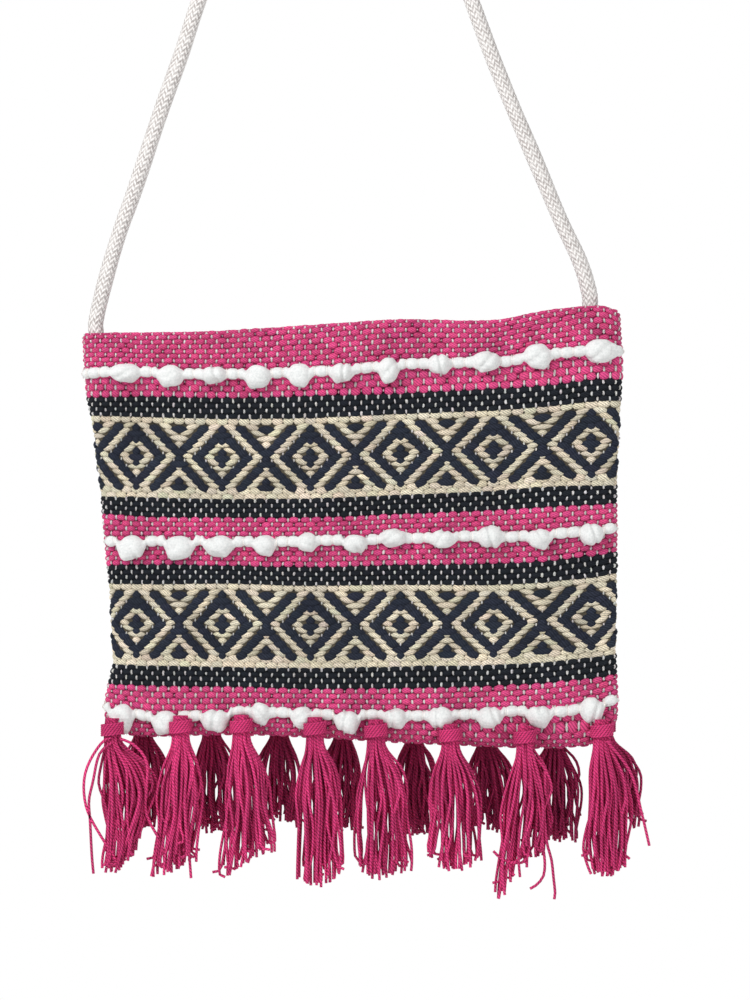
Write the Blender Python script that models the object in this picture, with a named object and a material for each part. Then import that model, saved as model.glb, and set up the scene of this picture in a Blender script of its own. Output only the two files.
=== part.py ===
"""Handwoven shoulder bag with bobble rows, a tassel fringe and a rope strap.

Units are metres, +Z is up, and the front faces -Y. The origin is the underside of the strap's top bend,
where a peg, a hook or a shoulder holds the bag.
"""
import math

import bmesh
import bpy
from mathutils import Vector

CLEARANCE = 0.0003

# How finely the shapes are cut into flat faces.
ACROSS_STEPS = 24
WALL_STEPS = 6
RIM_STEPS = 4
FOLD_STEPS = 3
TASSEL_SIDES = 8
CORD_SIDES = 6
CURVE_STEPS = 1200

# The bag's outline, seen from the front. The mouth climbs to the right, as it hangs on its strap.
MOUTH_WIDTH = 0.3005
FOOT_WIDTH = 0.2830
LEFT_SIDE = 0.2262
RIGHT_SIDE = 0.2413
MOUTH_MIDDLE = (0.0122, -0.3408)
MOUTH_CLIMB = 0.0141
FOOT_SHIFT = 0.0068

# How far each edge bows out of its straight line, at nine even steps along it.
MOUTH_BOW = (0.0, 0.0003, -0.0009, -0.0008, -0.0010, -0.0022, -0.0038, 0.0018, 0.0)
FOOT_BOW = (0.0, 0.0015, 0.0023, 0.0012, 0.0, -0.0025, -0.0036, -0.0044, 0.0)
LEFT_BOW = (0.0, -0.0003, -0.0021, -0.0039, -0.0048, -0.0056, -0.0054, 0.0008, 0.0)
RIGHT_BOW = (0.0, 0.0022, 0.0017, 0.0006, 0.0, 0.0, 0.0, 0.0006, 0.0)

# Cloth, hem and lining. The inside of the cloth is set by the room it leaves, the outside by its thickness.
CLOTH = 0.0030
HALF_ROOM = (0.0120, 0.0122, 0.0125, 0.0128, 0.0128, 0.0122, 0.0108, 0.0082, 0.0040)
SIDE_ROOM = 0.0022
CORNER_ROOM = 0.0060
HEM_DEPTH = 0.0240
HEM_STEP = 0.0005
HEM_FADE = 0.0120
LINING = 0.0008
LAST_WALL_SHARE = 0.89
WALL_SPACING = 1.6

# The strap is one rope. Its sewn ends fill a pocket in the hem at each side seam. The right one is sewn in
# a little way from the seam.
ROPE = 0.0090
ROPE_POINTS = 56
ROPE_STEP_IN = {"left": 0.0003, "right": 0.0085}
TAIL_ABOVE_HEM = 0.0035
POCKET_FADE = 0.16
STRAP_ROUTE = (
    (-0.1297, -0.3383), (-0.1236, -0.3133), (-0.1164, -0.2895), (-0.1086, -0.2678), (-0.0936, -0.2228),
    (-0.0825, -0.1917), (-0.0731, -0.1628), (-0.0542, -0.1072), (-0.0364, -0.0530), (-0.0238, -0.0126),
    (-0.0168, 0.0000), (0.0, 0.0045), (0.0168, 0.0003), (0.0234, -0.0119), (0.0412, -0.0572),
    (0.0618, -0.1128), (0.0803, -0.1628), (0.0914, -0.1928), (0.1036, -0.2228), (0.1175, -0.2556),
    (0.1292, -0.2834), (0.1403, -0.3072), (0.1455, -0.3245),
)

# The cloth is 78 picks high. A bobble cord lies in the place of two picks.
PICKS = 78
BOBBLE_ROWS = {"upper": 9, "middle": 40, "lower": 72}
BOBBLE_CORD = 0.0052
BOBBLE_WIDTH = 0.0140
BOBBLE_THICKNESS = 0.0108
BOBBLES = 11
BOBBLE_MARGIN = 0.0180
BOBBLE_REACHES = (-1.0, -0.62, 0.0, 0.62, 1.0)
CORD_END_INSET = 0.0040

# A tassel hangs just under the lowest bobble cord: its share of the foot's width, its length below the
# binding, and how far its skirt leans sideways.
FRONT_TASSELS = (
    (0.016, 0.0756, 0.0050), (0.149, 0.0806, -0.0033), (0.267, 0.0806, 0.0067), (0.410, 0.0833, 0.0017),
    (0.528, 0.0767, 0.0033), (0.673, 0.0717, 0.0017), (0.818, 0.0900, -0.0017), (0.968, 0.0761, 0.0100),
)
BACK_TASSELS = (
    (0.070, 0.0560, 0.0000), (0.204, 0.0585, 0.0010), (0.338, 0.0570, 0.0000), (0.463, 0.0590, -0.0010),
    (0.604, 0.0575, 0.0000), (0.746, 0.0560, 0.0015), (0.880, 0.0600, 0.0000), (0.978, 0.0570, 0.0080),
)
YARN = 0.0016
WRAPS = 5
WRAP_GROOVE = 0.3
BUNDLE = 0.0094
HEAD_RISE = 0.0015
SKIRT_WIDTH = 0.0290
SKIRT_DEPTH = 0.0180

# A tassel's outline. The head is given as shares of its rise and of the bundle's radius. The skirt is given
# as shares of its length, of its full width and of its lean.
HEAD_OUTLINE = ((1.0, 0.45), (0.4, 0.9))
SKIRT_OUTLINE = ((0.13, 0.62, 0.25), (0.38, 0.92, 0.7), (0.75, 1.0, 1.0), (1.0, 0.9, 1.0))

PINK = "C2457F"
TASSEL_PINK = "B03A70"
WHITE = "F2F2F2"
CREAM = "DCD6D2"
LINING_CREAM = "E4DCCB"


def linear(hex_colour):
    """A linear RGBA colour from an sRGB hex value."""
    channels = [int(hex_colour[i:i + 2], 16) / 255 for i in (0, 2, 4)]
    return tuple(c / 12.92 if c <= 0.04045 else ((c + 0.055) / 1.055) ** 2.4 for c in channels) + (1.0,)


def finish(item, hex_colour, roughness):
    """Give an object its own plain material."""
    material = bpy.data.materials.new(item.name + "_finish")
    material.use_nodes = True
    shader = material.node_tree.nodes["Principled BSDF"]
    shader.inputs["Base Color"].default_value = linear(hex_colour)
    shader.inputs["Roughness"].default_value = roughness
    shader.inputs["Metallic"].default_value = 0.0
    item.data.materials.append(material)


def through(values, share):
    """The value at a share of a smooth line through evenly spaced values, which may be vectors."""
    place = min(max(share, 0.0), 1.0) * (len(values) - 1)
    span = min(int(place), len(values) - 2)
    t = place - span
    before, start = values[max(span - 1, 0)], values[span]
    end, after = values[span + 1], values[min(span + 2, len(values) - 1)]
    return 0.5 * (2 * start + (end - before) * t + (2 * before - 5 * start + 4 * end - after) * t ** 2
                  + (3 * start - before - 3 * end + after) * t ** 3)


def ease(t):
    """A smooth step from 0 to 1."""
    t = min(max(t, 0.0), 1.0)
    return t * t * (3 - 2 * t)


def turns(count):
    """Evenly spaced angles once round a circle."""
    return [2 * math.pi * k / count for k in range(count)]


def mouth_z(across):
    return MOUTH_MIDDLE[1] + MOUTH_CLIMB * (across - 0.5) + through(MOUTH_BOW, across)


def foot_z(across):
    left = MOUTH_MIDDLE[1] - MOUTH_CLIMB / 2 - LEFT_SIDE
    right = MOUTH_MIDDLE[1] + MOUTH_CLIMB / 2 - RIGHT_SIDE
    return left + (right - left) * across + through(FOOT_BOW, across)


def side_x(down, sign):
    """Where a side seam lies at a share of the bag's height: sign -1 is the left seam, +1 the right one."""
    middle = MOUTH_MIDDLE[0] + FOOT_SHIFT * down
    half = (MOUTH_WIDTH + (FOOT_WIDTH - MOUTH_WIDTH) * down) / 2
    bow = through(LEFT_BOW if sign < 0 else RIGHT_BOW, down)
    return middle + sign * (half + bow)


def level_z(across, down):
    return mouth_z(across) + (foot_z(across) - mouth_z(across)) * down


def fold_radius():
    return HALF_ROOM[-1] + CLOTH


def share_of(depth):
    """A depth below the mouth as a share of the bag's mean height."""
    return depth / ((LEFT_SIDE + RIGHT_SIDE) / 2)


def tail_down():
    """How far down the rope's sewn tails reach, as a share of the height."""
    return share_of(HEM_DEPTH - TAIL_ABOVE_HEM)


def pocket_radius():
    return ROPE / 2 + CLEARANCE


def rope_inset(seam):
    """How far in from the bag's edge the rope's centre line is sewn."""
    return CLOTH + pocket_radius() + ROPE_STEP_IN[seam]


def hem_stop():
    """How far in from the inner corner the turned-in hem starts, clear of the rope on either side."""
    widest = max(rope_inset(seam) for seam in ROPE_STEP_IN)
    return widest + pocket_radius()


def end_room(down):
    """The inner radius at a side seam: the rope's pocket in the hem, and a narrower seam below it."""
    fade = ease((down - tail_down()) / POCKET_FADE)
    return pocket_radius() + (SIDE_ROOM - pocket_radius()) * fade


def half_depth(from_end, half_width, down, offset):
    """Half the bag's thickness, this far in from a side seam and this far out of the cloth's inner face."""
    end = end_room(down) + offset
    middle = through(HALF_ROOM, down) + offset
    if from_end < end:
        return math.sqrt(max(2 * end * from_end - from_end ** 2, 0.0))
    swell = math.sin(math.pi / 2 * min((from_end - end) / (half_width - end), 1.0))
    return end + (middle - end) * swell


def skin_ends(down, offset):
    """Where one of the cloth's skins ends at the two side seams."""
    return side_x(down, -1) + CLOTH - offset, side_x(down, 1) - CLOTH + offset


def skin_point(across, down, offset, side, hem=0.0):
    """A point on a skin of the cloth. Side -1 is the front and +1 the back, and offset CLOTH is outside."""
    left, right = skin_ends(down, offset)
    x = left + (right - left) * across
    from_end = min(x - left, right - x)
    turned = hem * CLOTH * ease((from_end - hem_stop()) / HEM_FADE)
    depth = half_depth(from_end, (right - left) / 2, down, offset) - turned
    return Vector((x, side * depth, level_z(across, down)))


def ring(point_at):
    """Points once round the bag: the front panel from left to right, then the back from right to left."""
    shares = [(1 - math.cos(math.pi * i / ACROSS_STEPS)) / 2 for i in range(ACROSS_STEPS + 1)]
    front = [point_at(share, -1) for share in shares]
    back = [point_at(share, 1) for share in reversed(shares[1:-1])]
    return front + back


def wall_ring(down, offset, hem=0.0):
    return ring(lambda across, side: skin_point(across, down, offset, side, hem))


def fold_ring(angle, offset):
    """A ring on the quarter round at the foot; at a right angle the front and back meet in one line."""
    def point_at(across, side):
        start = 1 - fold_radius() / (mouth_z(across) - foot_z(across))
        point = skin_point(across, start, offset, side)
        left, right = skin_ends(start, offset)
        inward = min(min(point.x - left, right - point.x) / (CORNER_ROOM + offset), 1.0)
        corner = math.sqrt(max(1 - (1 - inward) ** 2, 0.0))
        point.y *= math.cos(angle)
        point.z -= (HALF_ROOM[-1] + offset) * corner * math.sin(angle)
        return point
    return ring(point_at)


def fold_rings(offset):
    return [fold_ring(math.pi / 2 * i / FOLD_STEPS, offset) for i in range(FOLD_STEPS + 1)]


def rim_ring(angle):
    """A ring on the rounded fold of the mouth, from the outer face at 0 to the hem's inner face at pi."""
    def point_at(across, side):
        turn = (1 - math.cos(angle)) / 2
        point = skin_point(across, 0.0, CLOTH * (1 - turn), side, hem=turn)
        outer = skin_point(across, 0.0, CLOTH, side)
        inner = skin_point(across, 0.0, 0.0, side, hem=1.0)
        radius = max(abs(outer.y - inner.y), CLOTH) / 2
        point.z += radius * (math.sin(angle) - 1)
        return point
    return ring(point_at)


def wall_shares(start):
    """Shares of the height for a wall's rings, closest together at the mouth, where the seams narrow."""
    run = LAST_WALL_SHARE - start
    return [start + run * (i / WALL_STEPS) ** WALL_SPACING for i in range(WALL_STEPS + 1)]


def bridge(mesh, first, second):
    """Triangles between two rings. They are split the same way up on every skin, so that skins stay parallel."""
    for i, (a, d) in enumerate(zip(first, second)):
        j = (i + 1) % len(first)
        b, c = first[j], second[j]
        split = ((a, b, c), (a, c, d)) if a.co.z >= d.co.z else ((a, b, d), (b, c, d))
        for corners in split:
            mesh.faces.new(corners)


def skinned(name, rings, closed_end):
    """A closed solid through rings of equal count. Both its ends are folds, or they join one another."""
    mesh = bmesh.new()
    rows = [[mesh.verts.new(point) for point in points] for points in rings]
    for first, second in zip(rows, rows[1:]):
        bridge(mesh, first, second)
    if closed_end == "caps":
        mesh.faces.new(list(reversed(rows[0])))
        mesh.faces.new(rows[-1])
    if closed_end == "loop":
        bridge(mesh, rows[-1], rows[0])
    bmesh.ops.remove_doubles(mesh, verts=mesh.verts, dist=1e-6)
    bmesh.ops.recalc_face_normals(mesh, faces=mesh.faces)
    if mesh.calc_volume(signed=True) < 0:
        bmesh.ops.reverse_faces(mesh, faces=mesh.faces)
    data = bpy.data.meshes.new(name)
    mesh.to_mesh(data)
    mesh.free()
    data.shade_smooth()
    data.set_sharp_from_angle(angle=math.radians(40))
    item = bpy.data.objects.new(name, data)
    bpy.context.scene.collection.objects.link(item)
    return item


def inner_shares():
    """The heights of the rings inside the bag below its hem, which the lining follows."""
    return wall_shares(share_of(HEM_DEPTH + HEM_STEP))


def make_woven_shell():
    """One length of thick cloth, folded at the foot, seamed up both sides and turned in at the mouth."""
    outside = fold_rings(CLOTH)[::-1]
    outside += [wall_ring(down, CLOTH) for down in wall_shares(tail_down())[::-1]]
    rim = [rim_ring(math.pi * i / RIM_STEPS) for i in range(RIM_STEPS + 1)]
    inside = [wall_ring(share_of(HEM_DEPTH), 0.0, hem=1.0)]
    inside += [wall_ring(down, 0.0) for down in inner_shares()]
    inside += fold_rings(0.0)
    shell = skinned("woven_shell", outside + rim + inside, "fold")
    finish(shell, PINK, 0.9)


def make_lining():
    """A plain cotton inner bag, sewn in under the hem."""
    shares = [share_of(HEM_DEPTH + HEM_STEP + CLEARANCE)] + inner_shares()[1:]
    outer, inner = -CLEARANCE, -CLEARANCE - LINING
    rings = fold_rings(outer)[::-1]
    rings += [wall_ring(down, outer) for down in shares[::-1]]
    rings += [wall_ring(down, inner) for down in shares]
    rings += fold_rings(inner)
    lining = skinned("lining", rings, "fold")
    finish(lining, LINING_CREAM, 0.85)


def strap_points():
    """The strap's centre line: a sewn end in each side pocket, and the hand-chosen route between them."""
    def sewn_point(seam, sign, down):
        inset = rope_inset(seam)
        across = inset / MOUTH_WIDTH if sign < 0 else 1 - inset / MOUTH_WIDTH
        return Vector((side_x(down, sign) - sign * inset, 0.0, level_z(across, down)))

    start = [sewn_point("left", -1, down) for down in (tail_down(), 0.0)]
    end = [sewn_point("right", 1, down) for down in (0.0, tail_down())]
    return start + [Vector((x, 0.0, z)) for x, z in STRAP_ROUTE] + end


def even_points(points, count):
    """Points evenly spaced along a smooth curve through the given ones."""
    fine = [through(points, i / CURVE_STEPS) for i in range(CURVE_STEPS + 1)]
    run = [0.0]
    for a, b in zip(fine, fine[1:]):
        run.append(run[-1] + (b - a).length)
    even, k = [], 0
    for i in range(count):
        target = run[-1] * i / (count - 1)
        while k < len(run) - 2 and run[k + 1] < target:
            k += 1
        t = (target - run[k]) / (run[k + 1] - run[k])
        even.append(fine[k].lerp(fine[k + 1], t))
    return even


def make_strap():
    """The braided cotton rope, as a plain round tube along its own route."""
    curve = bpy.data.curves.new("strap", "CURVE")
    curve.dimensions = "3D"
    curve.bevel_depth = ROPE / 2
    curve.bevel_resolution = 3
    curve.use_fill_caps = True
    spline = curve.splines.new("POLY")
    points = even_points(strap_points(), ROPE_POINTS)
    spline.points.add(len(points) - 1)
    for slot, point in zip(spline.points, points):
        slot.co = (*point, 1.0)
    strap = bpy.data.objects.new("strap", curve)
    bpy.context.scene.collection.objects.link(strap)
    finish(strap, CREAM, 0.85)


def row_down(row):
    return BOBBLE_ROWS[row] / PICKS


def cord_stations(length):
    """Distances along a bobble cord, each with its swell: 0 on the bare cord and up to 1 on a bobble."""
    pitch = (length - 2 * BOBBLE_MARGIN) / (BOBBLES - 1)
    stations = [(CORD_END_INSET, 0.0)]
    for i in range(BOBBLES):
        centre = BOBBLE_MARGIN + pitch * i
        for reach in BOBBLE_REACHES:
            stations.append((centre + reach * BOBBLE_WIDTH / 2, math.sqrt(1 - reach * reach)))
    return stations + [(length - CORD_END_INSET, 0.0)]


def make_bobble_cord(face, side, row):
    """White jersey yarn laid across a panel as a thick pick and pulled up into puffs."""
    down = row_down(row)
    length = side_x(down, 1) - side_x(down, -1)
    rings = []
    for run, swell in cord_stations(length):
        radius = (BOBBLE_CORD + (BOBBLE_THICKNESS - BOBBLE_CORD) * swell) / 2
        face_point = skin_point(run / length, down, CLOTH, side)
        centre = face_point + Vector((0.0, side * (radius + CLEARANCE), 0.0))
        rings.append([centre + radius * Vector((0.0, math.sin(a), math.cos(a))) for a in turns(CORD_SIDES)])
    cord = skinned(f"{face}_bobble_cord_{row}", rings, "caps")
    finish(cord, WHITE, 0.8)


def binding_radius():
    return BUNDLE / 2 + CLEARANCE + YARN


def binding_height():
    return WRAPS * YARN


def neck_place(across, side):
    """The middle of a tassel's neck at the top of its binding, clear of the cloth and the bobbles above."""
    down = row_down("lower")
    above = level_z(across, down) - BOBBLE_THICKNESS / 2 - CLEARANCE - HEAD_RISE
    face_point = skin_point(across, down, CLOTH, side)
    out = abs(face_point.y) + CLEARANCE + binding_radius()
    return Vector((face_point.x, side * out, above))


def oval_ring(centre, half_width, half_thick):
    return [centre + Vector((half_width * math.cos(a), half_thick * math.sin(a), 0.0))
            for a in turns(TASSEL_SIDES)]


def skirt_half_width(places, leans, index):
    """Half a skirt's width: its own, or what its neighbours leave it."""
    middles = [place.x + lean for place, lean in zip(places, leans)]
    gaps = [abs(middles[index] - middles[k]) for k in (index - 1, index + 1) if 0 <= k < len(middles)]
    return min(SKIRT_WIDTH / 2, (min(gaps) - CLEARANCE) / 2)


def make_tassel(name, neck, length, lean, half_width):
    """A hank of pink yarn: a rounded head, a neck inside its binding, and a skirt that flares and hangs."""
    bundle = BUNDLE / 2
    waist = neck - Vector((0.0, 0.0, binding_height()))
    half_thick = min(SKIRT_DEPTH / 2, abs(neck.y) - CLEARANCE)
    rings = []
    for rise, share in HEAD_OUTLINE:
        rings.append(oval_ring(neck + Vector((0.0, 0.0, HEAD_RISE * rise)), bundle * share, bundle * share))
    rings.append(oval_ring(waist, bundle, bundle))
    for fall, flare, drift in SKIRT_OUTLINE:
        middle = waist + Vector((lean * drift, 0.0, -length * fall))
        rings.append(oval_ring(middle, max(bundle, half_width * flare), max(bundle, half_thick * flare)))
    tassel = skinned(name, rings, "caps")
    finish(tassel, TASSEL_PINK, 0.9)


def make_binding(name, neck):
    """The yarn wound round a tassel's neck, as a ring with one ridge for each turn."""
    inner = BUNDLE / 2 + CLEARANCE
    groove = binding_radius() - YARN * WRAP_GROOVE
    bottom = neck.z - binding_height()
    profile = [(inner, bottom), (inner, neck.z)]
    for turn in range(WRAPS):
        top = neck.z - turn * YARN
        profile += [(groove, top), (binding_radius(), top - YARN / 2)]
    profile.append((groove, bottom))
    rings = [oval_ring(Vector((neck.x, neck.y, z)), radius, radius) for radius, z in profile]
    binding = skinned(name, rings, "loop")
    finish(binding, TASSEL_PINK, 0.9)


def make_fringe(face, side, tassels):
    places = [neck_place(across, side) for across, _, _ in tassels]
    leans = [lean for _, _, lean in tassels]
    for i, (_, length, lean) in enumerate(tassels):
        half_width = skirt_half_width(places, leans, i)
        make_tassel(f"{face}_tassel_{i + 1}", places[i], length, lean, half_width)
        make_binding(f"{face}_tassel_binding_{i + 1}", places[i])


for old in list(bpy.data.objects):
    bpy.data.objects.remove(old, do_unlink=True)

make_woven_shell()
make_lining()
make_strap()
for face_name, facing, fringe in (("front", -1, FRONT_TASSELS), ("back", 1, BACK_TASSELS)):
    for row_name in BOBBLE_ROWS:
        make_bobble_cord(face_name, facing, row_name)
    make_fringe(face_name, facing, fringe)
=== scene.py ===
import math

import bmesh
import bpy
import numpy as np
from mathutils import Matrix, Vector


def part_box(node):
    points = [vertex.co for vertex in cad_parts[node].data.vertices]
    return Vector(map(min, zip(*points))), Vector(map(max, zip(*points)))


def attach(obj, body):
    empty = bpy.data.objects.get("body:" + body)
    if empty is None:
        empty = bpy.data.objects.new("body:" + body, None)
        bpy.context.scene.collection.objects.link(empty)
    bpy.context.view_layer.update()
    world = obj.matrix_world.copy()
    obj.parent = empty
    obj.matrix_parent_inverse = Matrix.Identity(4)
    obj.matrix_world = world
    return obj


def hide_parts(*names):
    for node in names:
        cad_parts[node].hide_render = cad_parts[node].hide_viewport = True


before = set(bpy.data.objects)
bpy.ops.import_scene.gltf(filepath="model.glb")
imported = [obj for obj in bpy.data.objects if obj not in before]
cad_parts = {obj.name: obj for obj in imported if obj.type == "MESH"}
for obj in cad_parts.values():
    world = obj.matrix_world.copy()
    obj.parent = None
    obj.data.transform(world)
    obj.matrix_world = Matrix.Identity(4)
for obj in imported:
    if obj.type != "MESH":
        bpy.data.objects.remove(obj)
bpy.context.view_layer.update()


# Camera. The photograph is 750 by 1000 pixels and looks square at the front of the hanging bag. The 540
# pixels across the mouth are 300 mm, and the row's origin, the strap's top bend, lies above the picture.
PIXEL = 0.300 / 540
PHOTO_WIDTH, PHOTO_HEIGHT = 750, 1000
ORIGIN_PIXEL = (328.5, -293.0)
CAMERA_DISTANCE = 2.0
FRONT_DEPTH = -0.012
SENSOR = 36.0


def at_pixel(px, py, depth=0.0):
    """The point of the object at a pixel of the photograph, at a depth along Y."""
    return np.array(((px - ORIGIN_PIXEL[0]) * PIXEL, depth, (ORIGIN_PIXEL[1] - py) * PIXEL))


camera_data = bpy.data.cameras.new("camera")
camera_data.sensor_width = SENSOR
camera_data.lens = SENSOR * CAMERA_DISTANCE / (PHOTO_HEIGHT * PIXEL)
camera = bpy.data.objects.new("camera", camera_data)
bpy.context.scene.collection.objects.link(camera)
camera.location = at_pixel(PHOTO_WIDTH / 2, PHOTO_HEIGHT / 2, FRONT_DEPTH - CAMERA_DISTANCE)
camera.rotation_euler = (math.pi / 2, 0.0, 0.0)
bpy.context.scene.camera = camera


# Strap. One soft cotton rope with a braided cover, off-white. Its two ends are sewn into pockets in the hem
# at the side seams, and both strands rise taut to the peg or shoulder above the picture. The braid follows
# the rope's path: sixteen strands cross as diamonds 3.4 mm long.
ROPE = 0.0090
ROPE_RADIUS = 0.0042
STRAP_ROUTE = (
    (-0.1285, -0.3673), (-0.1300, -0.3474), (-0.1297, -0.3383), (-0.1236, -0.3133), (-0.1164, -0.2895),
    (-0.1086, -0.2678), (-0.0936, -0.2228), (-0.0825, -0.1917), (-0.0731, -0.1628), (-0.0542, -0.1072),
    (-0.0364, -0.0530), (-0.0238, -0.0126), (-0.0168, 0.0000), (0.0000, 0.0045), (0.0168, 0.0003),
    (0.0234, -0.0119), (0.0412, -0.0572), (0.0618, -0.1128), (0.0803, -0.1628), (0.0914, -0.1928),
    (0.1036, -0.2228), (0.1175, -0.2556), (0.1292, -0.2834), (0.1403, -0.3072), (0.1455, -0.3245),
    (0.1461, -0.3335), (0.1477, -0.3548),
)
ROPE_STATION = 0.00085
ROPE_SIDES = 24
BRAID_ROW = 0.0034
BRAID_STRANDS = 8
BRAID_RELIEF = 0.00034


def smooth(values, share):
    """The value at a share of a smooth line through evenly spaced values."""
    values = np.asarray(values, float)
    place = np.clip(share, 0.0, 1.0) * (len(values) - 1)
    span = np.minimum(np.asarray(place).astype(int), len(values) - 2)
    t = place - span
    before, start = values[np.maximum(span - 1, 0)], values[span]
    end, after = values[span + 1], values[np.minimum(span + 2, len(values) - 1)]
    return 0.5 * (2 * start + (end - before) * t + (2 * before - 5 * start + 4 * end - after) * t ** 2
                  + (3 * start - before - 3 * end + after) * t ** 3)


def even_line(points, spacing):
    """Points evenly spaced along a smooth line through the given ones."""
    points = np.asarray(points, float)
    share = np.linspace(0, 1, 60 * len(points))
    fine = np.stack([smooth(axis, share) for axis in points.T], axis=1)
    run = np.concatenate([[0.0], np.cumsum(np.linalg.norm(np.diff(fine, axis=0), axis=1))])
    even = np.linspace(0.0, run[-1], max(int(round(run[-1] / spacing)), 2) + 1)
    return np.stack([np.interp(even, run, axis) for axis in fine.T], axis=1)


def linear(hex_colour):
    """A linear RGB colour from an sRGB hex value."""
    channels = [int(hex_colour[i:i + 2], 16) / 255 for i in (0, 2, 4)]
    return np.array([c / 12.92 if c <= 0.04045 else ((c + 0.055) / 1.055) ** 2.4 for c in channels])


def add_node(tree, kind, *values, **settings):
    """A node of a kind with its settings; each value fills an input in order, as a link or a constant."""
    node = tree.nodes.new(kind)
    for key, value in settings.items():
        setattr(node, key, value)
    sockets = [socket for socket in node.inputs if socket.enabled]
    for socket, value in zip(sockets, values):
        if isinstance(value, bpy.types.NodeSocket):
            tree.links.new(value, socket)
        elif value is not None:
            socket.default_value = value
    return next(socket for socket in node.outputs if socket.enabled)


def new_tree(name, **sizes):
    """A Geometry Nodes tree with inputs for its geometry and each named size, and those inputs' sockets."""
    tree = bpy.data.node_groups.new(name, "GeometryNodeTree")
    tree.interface.new_socket("Geometry", in_out="INPUT", socket_type="NodeSocketGeometry")
    for size, kind in sizes.items():
        tree.interface.new_socket(size, in_out="INPUT", socket_type="NodeSocket" + kind)
    tree.interface.new_socket("Geometry", in_out="OUTPUT", socket_type="NodeSocketGeometry")
    entry = tree.nodes.new("NodeGroupInput")
    return tree, {socket.name: socket for socket in entry.outputs if socket.name}


def close_tree(tree, geometry, material):
    """The tree's last nodes: real geometry, smooth shading and the material, then the group's output."""
    real = add_node(tree, "GeometryNodeRealizeInstances", geometry)
    smoothed = add_node(tree, "GeometryNodeSetShadeSmooth", real)
    made = add_node(tree, "GeometryNodeSetMaterial", smoothed, None, material)
    tree.links.new(made, tree.nodes.new("NodeGroupOutput").inputs[0])


def new_object(name, mesh):
    item = bpy.data.objects.new(name, mesh)
    bpy.context.scene.collection.objects.link(item)
    return item


def grow(name, tree, start, **sizes):
    """A plain mesh object made by a tree from a starting mesh, with the tree's named inputs set."""
    seed = new_object(name + "_start", start)
    modifier = seed.modifiers.new("grow", "NODES")
    modifier.node_group = tree
    for item in tree.interface.items_tree:
        if item.in_out == "INPUT" and item.name in sizes:
            modifier[item.identifier] = sizes[item.name]
    graph = bpy.context.evaluated_depsgraph_get()
    mesh = bpy.data.meshes.new_from_object(seed.evaluated_get(graph), depsgraph=graph)
    bpy.data.objects.remove(seed)
    mesh.name = name
    for attribute in ("size", "turn", "seed", "kind", "spot", "along", "round", "outward", "radius"):
        if attribute in mesh.attributes:
            mesh.attributes.remove(mesh.attributes[attribute])
    return new_object(name, mesh)


def set_attribute(mesh, name, kind, values, domain="POINT"):
    field = "color" if kind == "FLOAT_COLOR" else "vector" if kind == "FLOAT_VECTOR" else "value"
    attribute = mesh.attributes.new(name, kind, domain)
    number = np.int32 if kind == "INT" else np.float32
    attribute.data.foreach_set(field, np.ascontiguousarray(values, number).ravel())


def line_mesh(name, lines, radii, dyes, seeds):
    """A mesh of open lines, each with a radius at every point, one colour and one random number."""
    mesh = bpy.data.meshes.new(name)
    counts = [len(line) for line in lines]
    starts = np.cumsum([0] + counts[:-1])
    edges = np.concatenate([np.stack([np.arange(c - 1), np.arange(1, c)], axis=1) + s
                            for c, s in zip(counts, starts)])
    mesh.from_pydata(np.concatenate(lines).tolist(), edges.tolist(), [])
    set_attribute(mesh, "radius", "FLOAT", np.concatenate(radii))
    rgba = np.repeat(np.concatenate([dyes, np.ones((len(dyes), 1))], axis=1), counts, axis=0)
    set_attribute(mesh, "dye", "FLOAT_COLOR", rgba)
    set_attribute(mesh, "seed", "FLOAT", np.repeat(seeds, counts))
    return mesh


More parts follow.
